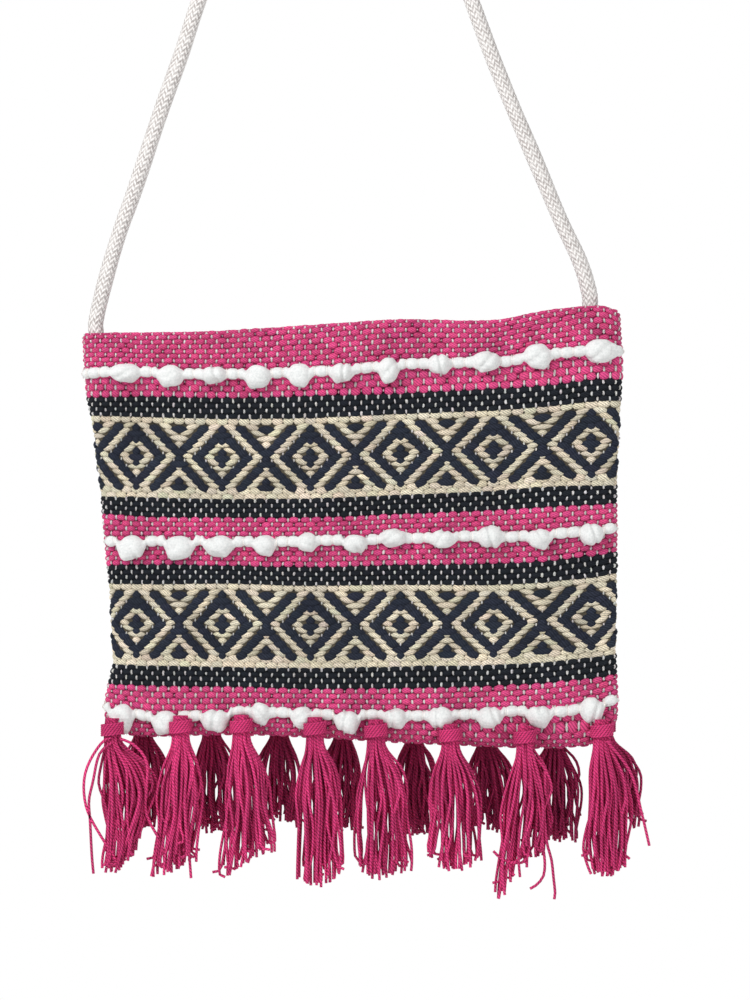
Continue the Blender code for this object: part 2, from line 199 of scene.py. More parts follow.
def yarn_tree(name, material, braided=False):
    """A tree that turns lines into closed round yarns. Every point keeps how far along the yarn it is in mm
    and its cosine and sine round it, which the material's twist follows."""
    sizes = {"Sides": "Int", "Relief": "Float", "Row": "Float", "Strands": "Float"}
    tree, given = new_tree(name, **sizes)
    curve = add_node(tree, "GeometryNodeMeshToCurve", given["Geometry"])
    length = tree.nodes.new("GeometryNodeSplineParameter").outputs["Length"]
    curve = add_node(tree, "GeometryNodeStoreNamedAttribute", curve, None, "along", length, data_type="FLOAT",
                     domain="POINT")
    circle = add_node(tree, "GeometryNodeCurvePrimitiveCircle", given["Sides"], 1.0)
    here = add_node(tree, "GeometryNodeInputPosition")
    circle = add_node(tree, "GeometryNodeStoreNamedAttribute", circle, None, "round", here,
                      data_type="FLOAT_VECTOR", domain="POINT")
    radius = add_node(tree, "GeometryNodeInputNamedAttribute", "radius", data_type="FLOAT")
    mesh = add_node(tree, "GeometryNodeCurveToMesh", curve, circle, radius, True)
    along = add_node(tree, "GeometryNodeInputNamedAttribute", "along", data_type="FLOAT")
    spoke = tree.nodes.new("ShaderNodeSeparateXYZ")
    tree.links.new(add_node(tree, "GeometryNodeInputNamedAttribute", "round", data_type="FLOAT_VECTOR"),
                   spoke.inputs[0])
    start = add_node(tree, "GeometryNodeInputNamedAttribute", "seed", data_type="FLOAT")
    run = add_node(tree, "ShaderNodeMath", along, 1000.0, start, operation="MULTIPLY_ADD")
    yarn = add_node(tree, "ShaderNodeCombineXYZ", run, spoke.outputs[0], spoke.outputs[1])
    mesh = add_node(tree, "GeometryNodeStoreNamedAttribute", mesh, None, "yarn", yarn,
                    data_type="FLOAT_VECTOR", domain="POINT")
    if braided:
        turn = add_node(tree, "ShaderNodeMath", spoke.outputs[1], spoke.outputs[0], operation="ARCTAN2")
        turns = add_node(tree, "ShaderNodeMath", turn, given["Strands"], operation="MULTIPLY")
        rows = add_node(tree, "ShaderNodeMath", along, given["Row"], operation="DIVIDE")
        rows = add_node(tree, "ShaderNodeMath", rows, 2 * math.pi, operation="MULTIPLY")
        ridges = []
        for operation in ("ADD", "SUBTRACT"):
            family = add_node(tree, "ShaderNodeMath", turns, rows, operation=operation)
            half = add_node(tree, "ShaderNodeMath", family, 0.5, operation="MULTIPLY")
            ridges.append(add_node(tree, "ShaderNodeMath", half, operation="SINE"))
        cross = add_node(tree, "ShaderNodeMath", *ridges, operation="MULTIPLY")
        cell = add_node(tree, "ShaderNodeMath", cross, operation="ABSOLUTE")
        cell = add_node(tree, "ShaderNodeMath", cell, 0.5, operation="POWER")
        lift = add_node(tree, "ShaderNodeMath", cell, given["Relief"], operation="MULTIPLY")
        normal = add_node(tree, "GeometryNodeInputNormal")
        push = add_node(tree, "ShaderNodeVectorMath", normal, lift, operation="SCALE")
        offset = tree.nodes.new("GeometryNodeSetPosition")
        tree.links.new(mesh, offset.inputs["Geometry"])
        tree.links.new(push, offset.inputs["Offset"])
        mesh = offset.outputs[0]
    close_tree(tree, mesh, material)
    return tree


def new_material(name, roughness, specular=0.25, sheen=0.0):
    """A material with its tree and its Principled shader's inputs."""
    material = bpy.data.materials.new(name)
    material.use_nodes = True
    shader = material.node_tree.nodes["Principled BSDF"].inputs
    shader["Roughness"].default_value = roughness
    shader["Specular IOR Level"].default_value = specular
    shader["Sheen Weight"].default_value = sheen
    return material, material.node_tree, shader


def yarn_coordinates(tree):
    """Sockets for how far along a yarn a point is, in mm, and for its angle round the yarn."""
    yarn = tree.nodes.new("ShaderNodeAttribute")
    yarn.attribute_name = "yarn"
    split = tree.nodes.new("ShaderNodeSeparateXYZ")
    tree.links.new(yarn.outputs["Vector"], split.inputs[0])
    angle = add_node(tree, "ShaderNodeMath", split.outputs[2], split.outputs[1], operation="ARCTAN2")
    return split.outputs[0], angle


# Braided cotton: matt and off-white, with painted grey shade in the hollows between the strands. Every strand
# is three yarns side by side, drawn as fine slanting lines, which meet as the small chevrons that the rope
# shows.
cotton, tree, shader = new_material("braided_cotton_rope", 0.9, sheen=0.2)
along, angle = yarn_coordinates(tree)
turns = add_node(tree, "ShaderNodeMath", angle, BRAID_STRANDS / (2 * math.pi), operation="MULTIPLY")
rows = add_node(tree, "ShaderNodeMath", along, BRAID_ROW * 1000, operation="DIVIDE")
lap = add_node(tree, "ShaderNodeMath", turns, 2 * math.pi, operation="MULTIPLY")
on_top = add_node(tree, "ShaderNodeMath", add_node(tree, "ShaderNodeMath", lap, operation="SINE"), 0.0,
                  operation="GREATER_THAN")
waves = []
for operation in ("ADD", "SUBTRACT"):
    family = add_node(tree, "ShaderNodeMath", turns, rows, operation=operation)
    phase = add_node(tree, "ShaderNodeMath", family, 2 * math.pi, operation="MULTIPLY")
    waves.append(add_node(tree, "ShaderNodeMath", phase, operation="SINE"))
yarns = add_node(tree, "ShaderNodeMix", on_top, waves[0], waves[1], data_type="FLOAT")
place = tree.nodes.new("ShaderNodeTexCoord").outputs["Object"]
fibre = add_node(tree, "ShaderNodeTexNoise", place, 1100.0, 3.0)
blotch = add_node(tree, "ShaderNodeTexNoise", place, 260.0, 2.0)
height = add_node(tree, "ShaderNodeMath", fibre, 1.2, yarns, operation="MULTIPLY_ADD")
# Random blotches plus painted shade: the colour falls to grey B4ADAA in the hollows between the strands.
blotch_and_hollow_shade = add_node(tree, "ShaderNodeMath", blotch, 3.0, yarns, operation="MULTIPLY_ADD")
shade = add_node(tree, "ShaderNodeMapRange", blotch_and_hollow_shade, 0.4, 1.9)
mix = add_node(tree, "ShaderNodeMix", shade, (*linear("B4ADAA"), 1), (*linear("EFECE9"), 1), data_type="RGBA")
tree.links.new(mix, shader["Base Color"])
tree.links.new(add_node(tree, "ShaderNodeBump", 0.7, 0.0004, None, height), shader["Normal"])

strap_line = even_line([(x, 0.0, z) for x, z in STRAP_ROUTE], ROPE_STATION)
wear = np.random.default_rng(5).normal(0.0, 1.0, len(strap_line))
soft = np.convolve(wear, np.hanning(60), "same") / 5.0
wide = 0.0003 * np.exp(-np.minimum(np.arange(len(strap_line)), np.arange(len(strap_line))[::-1]) / 60.0)
strap_start = line_mesh("strap_start", [strap_line], [ROPE_RADIUS - BRAID_RELIEF / 2 + 0.00008 * soft + wide],
                        np.ones((1, 3)), np.zeros(1))
strap = grow("strap_rope", yarn_tree("braided_rope", cotton, braided=True), strap_start,
             Sides=ROPE_SIDES, Relief=BRAID_RELIEF, Row=BRAID_ROW, Strands=float(BRAID_STRANDS))
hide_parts("strap")
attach(strap, "root")


# Woven cloth. One length of weft-faced cloth: white cotton warp ends 3 mm apart, and thick cotton weft
# beaten down so hard that the warp shows only as white dashes between the weft's beads. It is folded at the
# foot, seamed up both sides and turned in as a hem at the mouth. The weft is laid on the cloth's surface
# float by float. In the diamond bands a dark and a cream weft alternate, each half a row from the other.
CLOTH = 0.0030
HALF_ROOM = (0.0120, 0.0122, 0.0125, 0.0128, 0.0128, 0.0122, 0.0108, 0.0082, 0.0040)
SIDE_ROOM = 0.0022
POCKET_ROOM = ROPE / 2 + 0.0003
POCKET_FADE = (7, 20)
HEM_FROM_EDGE = 0.0181
HEM_FADE = 0.0120
FOLD = HALF_ROOM[-1] + CLOTH
CORNER_ROOM = 0.0060
PICK = 0.0030
WARP = 0.0031
RIM_PICKS = 1.5
FOLD_START, FOLD_END = 74.2, 78.0
PICKS = 78
COLUMN_PIXELS = (95, 150, 222, 310, 400, 493, 550, 600, 620)
CLOTH_PIXELS = (
    (0, 80.5, 621, 333, 332, 330.5, 325, 319.5, 320, 309.5, 305.5, 310),
    (9, 83, 624, 371, 372, 374, 372, 364.5, 361.5, 354, 351.5, 349),
    (13, 85, 624, 397, 396.5, 398, 396, 393.5, 389, 385, 379, 379),
    (17, 89, 623, 416, 417.5, 419.5, 418.5, 414.5, 411, 406.5, 401.5, 401),
    (31, 99, 619, 496, 497, 498.5, 498, 494.5, 490.5, 486, 485, 484.5),
    (35, 100.5, 619, 513.5, 517, 517.5, 517.5, 514, 510.5, 507, 504.5, 503),
    (40, 103, 619, 542, 541, 541, 540.5, 538.5, 536.5, 534, 530, 528),
    (45, 105, 619, 566, 564.5, 565.5, 567, 565, 563.5, 561, 555, 552),
    (49, 107, 619, 584, 585, 584, 586, 585, 585.5, 582.5, 577.5, 574),
    (63, 111, 618, 664, 665.5, 666.5, 667.5, 666, 664.5, 661.5, 656.5, 654),
    (67, 106, 619, 684, 686.5, 687, 689, 688.5, 686.5, 683, 678, 675),
    (72, 102, 620, 706, 717, 715.5, 713.5, 716, 713, 711.5, 706, 700),
    (78, 107, 617.5, 733, 738, 736, 738.5, 744, 748, 749.5, 745, 729),
)
WARP_PIXELS = ((-8, 55.5), (0, 94.5), (8, 135.5), (24, 222.0), (40, 310.5), (56, 400.5), (72, 493.5),
               (88, 592.0), (100, 668.0))
FIRST_WARP, LAST_WARP = -6, 97
FLAT_SPAN = (-10.0, 120.0, -10.0, 100.0)
GROUND_DEPTH = 0.0009
SEAM_MARGIN = 0.1

PINK, BLACK, CREAM, PATTERN_DARK, WARP_WHITE = "D94C83", "1D2128", "E0D5BE", "282D3A", "FBF8F6"
PLAIN_BANDS = ((-8, 13, PINK), (13, 17, BLACK), (31, 35, BLACK), (35, 45, PINK), (45, 49, BLACK),
               (63, 67, BLACK), (67, 78, PINK))
DIAMOND_BANDS = (17, 49)
MARKS = np.array([row[0] for row in CLOTH_PIXELS], float)


def ease(t):
    """A smooth step from 0 to 1."""
    t = np.clip(t, 0.0, 1.0)
    return t * t * (3 - 2 * t)


def warp_x(warp):
    return (np.interp(warp, *np.array(WARP_PIXELS).T) - ORIGIN_PIXEL[0]) * PIXEL


def side_x(picks, side):
    """The X of the left (0) or right (1) seam at a place down the cloth."""
    return (np.interp(picks, MARKS, [row[1 + side] for row in CLOTH_PIXELS]) - ORIGIN_PIXEL[0]) * PIXEL


def row_z(flat_x, picks):
    """The height of a place down the cloth, from the rows' edges in the photograph."""
    px = np.interp(flat_x / PIXEL + ORIGIN_PIXEL[0], COLUMN_PIXELS, np.linspace(0, 1, len(COLUMN_PIXELS)))
    levels = np.stack([smooth(row[3:], px) for row in CLOTH_PIXELS])
    span = np.clip(np.searchsorted(MARKS, picks, side="right") - 1, 0, len(MARKS) - 2)
    t = np.clip((picks - MARKS[span]) / (MARKS[span + 1] - MARKS[span]), 0.0, 1.0)
    upper = np.take_along_axis(levels, span[None], axis=0)[0]
    lower = np.take_along_axis(levels, span[None] + 1, axis=0)[0]
    return (ORIGIN_PIXEL[1] - (upper + (lower - upper) * t)) * PIXEL


def end_room(picks):
    return POCKET_ROOM + (SIDE_ROOM - POCKET_ROOM) * ease((picks - POCKET_FADE[0]) / POCKET_FADE[1])


def skin(flat_x, picks, offset, hem=0.0):
    """X and half depth of the cloth on a skin this far out of its inner face. Near a seam the warps follow
    the seam's round edge: the last value is how far round they are, from 0 to 1 at the seam."""
    left, right = side_x(picks, 0) + CLOTH - offset, side_x(picks, 1) - CLOTH + offset
    end, middle = end_room(picks) + offset, smooth(HALF_ROOM, picks / PICKS) + offset
    over_left, over_right = (left + end - flat_x) / end, (flat_x - right + end) / end
    over = np.maximum(np.maximum(over_left, over_right), 0.0)
    round_x = np.where(over_left > 0, left + end - end * np.sin(over), right - end + end * np.sin(over))
    from_end = np.minimum(flat_x - left, right - flat_x)
    swell = np.sin(np.pi / 2 * np.clip((from_end - end) / ((right - left) / 2 - end), 0.0, 1.0))
    turned = hem * CLOTH * ease((from_end - HEM_FROM_EDGE) / HEM_FADE)
    x = np.where(over > 0, round_x, flat_x)
    y = np.where(over > 0, end * np.cos(over), end + (middle - end) * swell - turned)
    return x, y, over / (np.pi / 2)


def cloth_surface(flat_x, picks, side):
    """Points of the cloth for the flat X of its warps and their place down the cloth: below -1.5 is the hem
    inside, 0 the mouth's edge, 74.2 the start of the fold at the foot. Side is -1 in front, 1 at the back."""
    flat_x, picks = np.broadcast_arrays(np.asarray(flat_x, float), np.asarray(picks, float))
    turn = np.clip((RIM_PICKS - picks) / (2 * RIM_PICKS), 0.0, 1.0)
    eased = (1 - np.cos(np.pi * turn)) / 2
    place = np.where(picks < -RIM_PICKS, -picks, np.clip(picks, 0.0, PICKS))
    x, y, over = skin(flat_x, place, CLOTH * (1 - eased), np.where(picks < RIM_PICKS, eased, 0.0))
    zero = np.zeros_like(flat_x)
    rim = np.maximum(skin(flat_x, zero, CLOTH)[1] - skin(flat_x, zero, 0.0, 1.0)[1], CLOTH) / 2
    top = row_z(flat_x, zero)
    z = row_z(flat_x, np.clip(picks, 9.0, 72.0))
    z = np.where(picks < 9, top - rim + (z - top + rim) * (picks - RIM_PICKS) / (9 - RIM_PICKS), z)
    z = np.where(picks < RIM_PICKS, top - rim + rim * np.sin(np.pi * turn), z)
    z = np.where(picks < -RIM_PICKS, top - rim + (picks + RIM_PICKS) * PICK, z)
    foot = row_z(flat_x, zero + PICKS)
    z = np.where(picks > 72, z + (foot + FOLD - z) * np.clip((picks - 72) / (FOLD_START - 72), 0, 1), z)
    bend = np.clip((picks - FOLD_START) / (FOLD_END - FOLD_START), 0.0, 1.15) * np.pi / 2
    inward = np.clip((1 - np.minimum(over, 1.0)) * end_room(place) / CORNER_ROOM + (over <= 0), 0.0, 1.0)
    corner = np.sqrt(np.maximum(1 - (1 - inward) ** 2, 0.0))
    z = np.where(bend > 0, foot + FOLD - FOLD * corner * np.sin(bend), z)
    sway = 0.0005 * np.sin(flat_x * 95 + picks * 0.21 + side) + 0.0004 * np.sin(flat_x * 210 - picks * 0.33)
    y = (y + sway * np.clip(1 - over, 0, 1)) * np.cos(bend)
    return np.stack([x, side * y, z], axis=-1), over


def cloth_normals(flat_x, picks, side):
    """Outward unit normals of the cloth, from the slopes of its surface."""
    step_x, step_pick = 0.0004, 0.12
    across = cloth_surface(flat_x + step_x, picks, side)[0] - cloth_surface(flat_x - step_x, picks, side)[0]
    down = cloth_surface(flat_x, picks + step_pick, side)[0] - cloth_surface(flat_x, picks - step_pick, side)[0]
    normals = np.cross(across, down) * side
    return normals / np.maximum(np.linalg.norm(normals, axis=-1), 1e-12)[..., None]


def seam_warps(picks):
    """The first and last place along a pick, in warps, that lie outside the seams."""
    marks, places = np.array(WARP_PIXELS).T
    eased = (1 - np.cos(np.pi * np.clip((RIM_PICKS - picks) / (2 * RIM_PICKS), 0.0, 1.0))) / 2
    inset = (end_room(np.abs(picks)) + CLOTH * (1 - eased)) * (1 - np.pi / 2) + CLOTH * eased
    flat = side_x(np.abs(picks), 0) + inset, side_x(np.abs(picks), 1) - inset
    return [np.interp(x / PIXEL + ORIGIN_PIXEL[0], places, marks) for x in flat]


def ground_mesh(name, side):
    """The cloth under the weft: one face for each warp and about two picks, its points knowing where they
    are in the flat cloth and which way is out. Its colour is painted shade for the gaps between the beads."""
    picks = np.concatenate([[-8.6, -6, -4, -2.5, -1.5, -1, -0.5, 0, 0.5, 1, 1.5, 2.4, 3.6, 5, 7, 9],
                            np.arange(11, 73, 2), [73.2, 74.2, 75, 76, 77, 78, 78.4]])
    warps = np.arange(FIRST_WARP, LAST_WARP + 1)
    flat, rows = np.meshgrid(warp_x(warps), picks)
    points, over = cloth_surface(flat, rows, side)
    normals = cloth_normals(flat, rows, side)
    points = points - normals * GROUND_DEPTH
    at_seam = over >= 1.0
    is_left = flat < 0.018
    seam = np.where(is_left, side_x(np.abs(rows), 0), side_x(np.abs(rows), 1))
    points[..., 0] = np.where(at_seam, seam + np.where(is_left, GROUND_DEPTH, -GROUND_DEPTH), points[..., 0])
    points[..., 1] = np.where(at_seam, 0.0, points[..., 1])
    sideways = np.stack([np.where(is_left, -1.0, 1.0), 0 * flat, 0 * flat], axis=-1)
    normals = np.where(at_seam[..., None], sideways, normals)
    count = len(warps)
    row, column = [grid.ravel() for grid in np.meshgrid(np.arange(len(picks) - 1), np.arange(count - 1),
                                                        indexing="ij")]
    corners = np.stack([row * count + column, (row + 1) * count + column, (row + 1) * count + column + 1,
                        row * count + column + 1], axis=1)
    corners = corners[~at_seam.ravel()[corners].all(axis=1)]
    if side > 0:
        corners = corners[:, ::-1]
    mesh = bpy.data.meshes.new(name)
    mesh.from_pydata(points.reshape(-1, 3).tolist(), [], corners.tolist())
    u0, u1, v0, v1 = FLAT_SPAN
    flat_uv = np.stack([(np.broadcast_to(warps, flat.shape) - u0) / (u1 - u0), (rows - v0) / (v1 - v0)],
                       axis=-1).reshape(-1, 2)
    layer = mesh.uv_layers.new(name="flat")
    layer.uv.foreach_set("vector", flat_uv[corners].astype(np.float32).ravel())
    set_attribute(mesh, "outward", "FLOAT_VECTOR", normals.reshape(-1, 3))
    # Painted shade: the ground shows only in the gaps between the beads, so each band's ground is a dark copy
    # of its weft (7A2448, 0E1014, 5C5548) standing for the shade there.
    painted_shade_colours = np.ones((len(points.reshape(-1, 3)), 4))
    middles = rows.ravel()
    painted_shade_colours[:, :3] = linear("7A2448")
    for start, stop, dye in PLAIN_BANDS:
        if dye == BLACK:
            painted_shade_colours[(middles > start - 0.5) & (middles < stop + 0.5), :3] = linear("0E1014")
    for start in DIAMOND_BANDS:
        painted_shade_colours[(middles > start) & (middles < start + 14), :3] = linear("5C5548")
    set_attribute(mesh, "dye", "FLOAT_COLOR", painted_shade_colours)
    set_attribute(mesh, "yarn", "FLOAT_VECTOR", np.tile((0.0, 1.0, 0.0), (len(painted_shade_colours), 1)))
    return mesh


def weft_floats(seed):
    """One row for each float of the weft and each warp that shows: warp, pick, half length along the yarn,
    half width, height, turn, red, green, blue and kind, where 0 is a bead, 1 a pattern float, 2 a warp."""
    rng = np.random.default_rng(seed)
    rows = []

    def add(warp, pick, half_length, half_width, height, turn, dye, kind, spread=0.07):
        first, last = [max(seam_warps(pick - 0.6)[0], seam_warps(pick + 0.6)[0]) + SEAM_MARGIN,
                       min(seam_warps(pick - 0.6)[1], seam_warps(pick + 0.6)[1]) - SEAM_MARGIN]
        if kind < 2:
            low, high = max(warp - half_length, first), min(warp + half_length, last)
            if high - low < 0.5:
                return
            warp, half_length = (low + high) / 2, (high - low) / 2
        elif not first + 0.2 < warp < last - 0.2:
            return
        shade = linear(dye) * rng.normal(1.0, spread) * (1.0 + rng.normal(0.0, 0.02, 3))
        rows.append((warp, pick, half_length, half_width, height, turn, *np.clip(shade, 0, 1), kind))

    for start, stop, dye in PLAIN_BANDS:
        for pick in range(start, stop):
            for warp in range(FIRST_WARP, LAST_WARP + 1):
                jitter = rng.normal(0.0, 0.04, 2)
                if (warp + pick) % 2 == 0:
                    add(warp + jitter[0], pick + 0.5 + jitter[1], rng.normal(0.90, 0.03),
                        rng.normal(0.60, 0.03), rng.normal(0.00150, 0.00012), rng.normal(0.0, 0.05), dye, 0)
                    continue
                faint = rng.random()
                slim = 0.45 if faint < 0.10 and dye == PINK else 1.0
                add(warp + jitter[0], pick + 0.5 + jitter[1], rng.normal(0.50, 0.05) * slim,
                    rng.normal(0.21, 0.025) * slim, rng.normal(0.00136, 0.00012), rng.normal(0.0, 0.10),
                    WARP_WHITE, 2, 0.04)
    for start in DIAMOND_BANDS:
        for row in range(-6, 8):
            pick = start + 6.55 + 1.03 * row
            if not -5 <= row <= 5:
                for warp in range(FIRST_WARP, LAST_WARP + 1):
                    if (warp + row) % 2 == 0:
                        add(warp, pick, rng.normal(1.12, 0.04), rng.normal(0.66, 0.03),
                            rng.normal(0.00105, 0.0001), rng.normal(0.0, 0.04), CREAM, 0)
                continue
            for low, high, slope in pattern_runs(row, (2, 3)):
                add((low + high) / 2, pick, (high - low) / 2 + 0.85, rng.normal(0.53, 0.04),
                    rng.normal(0.00128, 0.0001), slope + rng.normal(0, 0.03), CREAM, 1)
        for row in range(-5, 6):
            pick = start + 7.07 + 1.03 * row
            for low, high, slope in pattern_runs(row, (0, 1)):
                add((low + high) / 2, pick, (high - low) / 2 + 0.86, rng.normal(0.80, 0.04),
                    rng.normal(0.00175, 0.0001), slope + rng.normal(0, 0.03), PATTERN_DARK, 1)
        for centre in range(-8, 105, 16):
            shows = [(3, 0.75), (7, 0.75), (5, -0.4), (4, -1.4), (3, -2.5), (2, -3.5), (2, 1.9), (8, -1.6),
                     (8, 2.7)]
            for u, v in [(0, 3.6), (0, -2.5)] + shows + [(-u, v) for u, v in shows if u < 8]:
                add(centre + u, start + 6.6 + 1.03 * v, 0.34, 0.14, 0.0014, 0.0, WARP_WHITE, 2, 0.04)
    return np.array(rows)


def pattern_runs(row, shows):
    """The floats of one row of diamonds: first and last warp that each passes over, and its slope. A warp is
    passed over where its distance from a diamond's centre, in warps and rows together, falls in the shown
    quarters of a repeat of four. Diamonds are 16 warps apart."""
    runs = []
    for warp in range(FIRST_WARP - 4, LAST_WARP + 5):
        u = abs((warp - 8 + 8) % 16 - 8)
        over = (u + abs(row)) % 4 in shows
        if shows == (0, 1):
            over = over and not (row == -4 and u == 8) or (row == -5 and u == 8) or (row == -3 and u == 0)
        else:
            over = over and not (row == -3 and u == 0)
        if not over:
            continue
        if runs and runs[-1][1] == warp - 1:
            runs[-1][1] = warp
        else:
            runs.append([warp, warp])
    result = []
    for low, high in runs:
        pieces = [(low, high)] if high - low < 4 else [(low, low + 1), (low + 2, high - 2), (high - 1, high)]
        for first, last in pieces:
            u = (first + last) / 2 - (round(((first + last) / 2 - 8) / 16) * 16 + 8)
            middle = 0.01 if shows == (0, 1) else 0.3
            slope = 0.0 if abs(u) < 0.6 or abs(u) > 7.4 else -np.sign(u * (row + middle))
            result.append((first, last, slope * 0.26))
    return result


def float_table(name, rows):
    """A mesh of points with the floats' places and attributes, in warps, picks and metres of height."""
    mesh = bpy.data.meshes.new(name)
    mesh.from_pydata(np.column_stack([rows[:, :2], np.zeros(len(rows))]).tolist(), [], [])
    upright = rows[:, 9] == 2
    turn = np.zeros((len(rows), 3))
    turn[:, 2] = rows[:, 5] + np.where(upright, np.pi / 2, 0.0)
    set_attribute(mesh, "size", "FLOAT_VECTOR", rows[:, 2:5])
    set_attribute(mesh, "turn", "FLOAT_VECTOR", turn)
    set_attribute(mesh, "dye", "FLOAT_COLOR", np.column_stack([rows[:, 6:9], np.ones(len(rows))]))
    set_attribute(mesh, "seed", "FLOAT", (rows[:, 0] * 7.13 + rows[:, 1] * 3.77) % 40)
    set_attribute(mesh, "kind", "INT", rows[:, 9])
    return mesh


def weft_tree(name, material):
    """A tree that lays floats of yarn on a cloth: each is a half spindle in the flat cloth, which is then
    carried to the cloth's surface, with its own height along the way out."""
    tree, given = new_tree(name, Floats="Object", Stations="Int", Sides="Int", Mirrored="Bool", Warp="Float")
    table = add_node(tree, "GeometryNodeObjectInfo", given["Floats"])
    table = table.node.outputs["Geometry"]
    read = {}
    for attribute, kind in (("size", "FLOAT_VECTOR"), ("turn", "FLOAT_VECTOR"), ("seed", "FLOAT"),
                            ("kind", "INT"), ("spot", "FLOAT_VECTOR"), ("outward", "FLOAT_VECTOR"),
                            ("flat", "FLOAT_VECTOR")):
        read[attribute] = add_node(tree, "GeometryNodeInputNamedAttribute", attribute, data_type=kind)
    laid = []
    for kind, power, fullness in ((0, 3.0, 0.50), (1, 1.9, 0.75), (2, 2.4, 0.6)):
        stations, sides = (given["Stations"], given["Sides"]) if kind < 2 else (5, 3)
        grid = add_node(tree, "GeometryNodeMeshGrid", 2.0, 1.0, stations, sides)
        here = tree.nodes.new("ShaderNodeSeparateXYZ")
        tree.links.new(add_node(tree, "GeometryNodeInputPosition"), here.inputs[0])
        size = add_node(tree, "ShaderNodeMath", here.outputs[0], operation="ABSOLUTE")
        size = add_node(tree, "ShaderNodeMath", size, power, operation="POWER")
        size = add_node(tree, "ShaderNodeMath", 1.0, size, operation="SUBTRACT", use_clamp=True)
        radius = add_node(tree, "ShaderNodeMath", size, fullness, operation="POWER")
        angle = add_node(tree, "ShaderNodeMath", here.outputs[1], -math.pi, math.pi / 2,
                         operation="MULTIPLY_ADD")
        cosine = add_node(tree, "ShaderNodeMath", angle, operation="COSINE")
        sine = add_node(tree, "ShaderNodeMath", angle, operation="SINE")
        spot = add_node(tree, "ShaderNodeCombineXYZ", here.outputs[0], cosine, sine)
        wide = add_node(tree, "ShaderNodeMath", radius, cosine, operation="MULTIPLY")
        high = add_node(tree, "ShaderNodeMath", radius, sine, operation="MULTIPLY")
        shape = add_node(tree, "ShaderNodeCombineXYZ", here.outputs[0], wide, high)
        grid = add_node(tree, "GeometryNodeStoreNamedAttribute", grid, None, "spot", spot,
                        data_type="FLOAT_VECTOR", domain="POINT")
        bead = add_node(tree, "GeometryNodeSetPosition", grid, None, shape)
        bead = add_node(tree, "GeometryNodeMergeByDistance", bead, None, 0.0001)
        chosen = add_node(tree, "FunctionNodeCompare", read["kind"], kind, data_type="INT", operation="EQUAL")
        laid.append(add_node(tree, "GeometryNodeInstanceOnPoints", table, chosen, bead, None, None,
                             read["turn"], read["size"]))
    join = tree.nodes.new("GeometryNodeJoinGeometry")
    for geometry in laid:
        tree.links.new(geometry, join.inputs[0])
    floats = add_node(tree, "GeometryNodeRealizeInstances", join.outputs[0])
    place = tree.nodes.new("ShaderNodeSeparateXYZ")
    tree.links.new(add_node(tree, "GeometryNodeInputPosition"), place.inputs[0])
    u0, u1, v0, v1 = FLAT_SPAN
    across = add_node(tree, "ShaderNodeMath", place.outputs[0], 1 / (u1 - u0), -u0 / (u1 - u0),
                      operation="MULTIPLY_ADD")
    down = add_node(tree, "ShaderNodeMath", place.outputs[1], 1 / (v1 - v0), -v0 / (v1 - v0),
                    operation="MULTIPLY_ADD")
    there = add_node(tree, "ShaderNodeCombineXYZ", across, down)
    position = add_node(tree, "GeometryNodeInputPosition")
    surface = add_node(tree, "GeometryNodeSampleUVSurface", given["Geometry"], position, read["flat"], there,
                       data_type="FLOAT_VECTOR")
    outward = add_node(tree, "GeometryNodeSampleUVSurface", given["Geometry"], read["outward"], read["flat"],
                       there, data_type="FLOAT_VECTOR")
    out = add_node(tree, "ShaderNodeVectorMath", outward, operation="NORMALIZE")
    lift = add_node(tree, "ShaderNodeVectorMath", out, place.outputs[2], operation="SCALE")
    placed = add_node(tree, "ShaderNodeVectorMath", surface, lift, operation="ADD")
    spot = tree.nodes.new("ShaderNodeSeparateXYZ")
    tree.links.new(read["spot"], spot.inputs[0])
    size = tree.nodes.new("ShaderNodeSeparateXYZ")
    tree.links.new(read["size"], size.inputs[0])
    run = add_node(tree, "ShaderNodeMath", size.outputs[0], given["Warp"], operation="MULTIPLY")
    run = add_node(tree, "ShaderNodeMath", run, spot.outputs[0], read["seed"], operation="MULTIPLY_ADD")
    yarn = add_node(tree, "ShaderNodeCombineXYZ", run, spot.outputs[1], spot.outputs[2])
    floats = add_node(tree, "GeometryNodeStoreNamedAttribute", floats, None, "yarn", yarn,
                      data_type="FLOAT_VECTOR", domain="POINT")
    floats = add_node(tree, "GeometryNodeSetPosition", floats, None, placed)
    floats = add_node(tree, "GeometryNodeFlipFaces", floats, given["Mirrored"])
    close_tree(tree, floats, material)
    return tree


